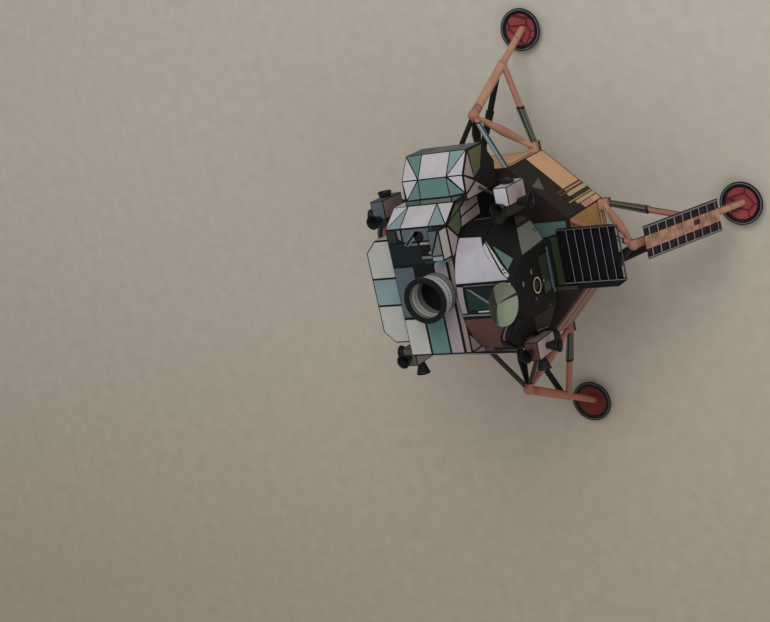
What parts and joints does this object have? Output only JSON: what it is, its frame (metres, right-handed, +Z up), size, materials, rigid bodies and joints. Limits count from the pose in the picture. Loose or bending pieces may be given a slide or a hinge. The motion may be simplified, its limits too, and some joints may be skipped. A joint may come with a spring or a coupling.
{
  "type": "card scale model of a lunar lander",
  "caption": "Two-stage lunar lander model in glued card: octagonal lower stage on strutted legs with dished footpads, faceted upper stage.",
  "frame": {"origin": "on the floor under the centre, midway between the four footpads", "axes": "+Z up, -Y towards the front with the ladder, +X towards port"},
  "size_m": [0.194, 0.194, 0.1339],
  "materials": {
    "walls": "printed card, matt, brown black over orange",
    "deck": "printed card, matt black",
    "dark_card": "printed card, matt brown black",
    "pale_card": "printed card, matt white, teal and olive panels",
    "struts": "printed card tube, matt orange and pink",
    "pads": "printed card, matt dark red with a dark rim",
    "dish": "printed card, matt pale green",
    "nozzles": "printed card, matt black and grey stripes",
    "bell": "printed card, matt grey with fine dark lines"
  },
  "bodies": {
    "root": {"aft_bay": "pale_card", "cabin_barrel": "dark_card", "cabin_base": "dark_card", "cabin_front": "dark_card", "corner_fittings_aft": "struts", "corner_fittings_front": "struts", "corner_fittings_port": "struts", "corner_fittings_starboard": "struts", "descent_body": "walls", "descent_deck": "deck", "descent_underside": "deck", "docking_tunnel": "pale_card", "engine_bell": "bell", "footpad_aft": "pads", "footpad_front": "pads", "footpad_port": "pads", "footpad_starboard": "pads", "forward_hatch": "dark_card", "hatch_sill": "pale_card", "ladder": "struts", "lower_outriggers_aft": "struts", "lower_outriggers_front": "struts", "lower_outriggers_port": "struts", "lower_outriggers_starboard": "struts", "midsection": "pale_card", "porch": "deck", "primary_strut_aft": "struts", "primary_strut_front": "struts", "primary_strut_port": "struts", "primary_strut_starboard": "struts", "radar_dish": "dish", "radar_mount": "dish", "roof_box": "pale_card", "secondary_struts_aft": "struts", "secondary_struts_front": "struts", "secondary_struts_port": "struts", "secondary_struts_starboard": "struts", "tank_bay_port": "pale_card", "tank_bay_starboard": "pale_card", "thruster_nozzles_port_aft": "nozzles", "thruster_nozzles_port_front": "nozzles", "thruster_nozzles_starboard_aft": "nozzles", "thruster_nozzles_starboard_front": "nozzles", "thruster_quad_port_aft": "pale_card", "thruster_quad_port_front": "pale_card", "thruster_quad_starboard_aft": "pale_card", "thruster_quad_starboard_front": "pale_card", "tracking_ring": "dark_card", "upper_outriggers_aft": "struts", "upper_outriggers_front": "struts", "upper_outriggers_port": "struts", "upper_outriggers_starboard": "struts", "window_port": "pale_card", "window_starboard": "pale_card"}
  },
  "joints": []
}
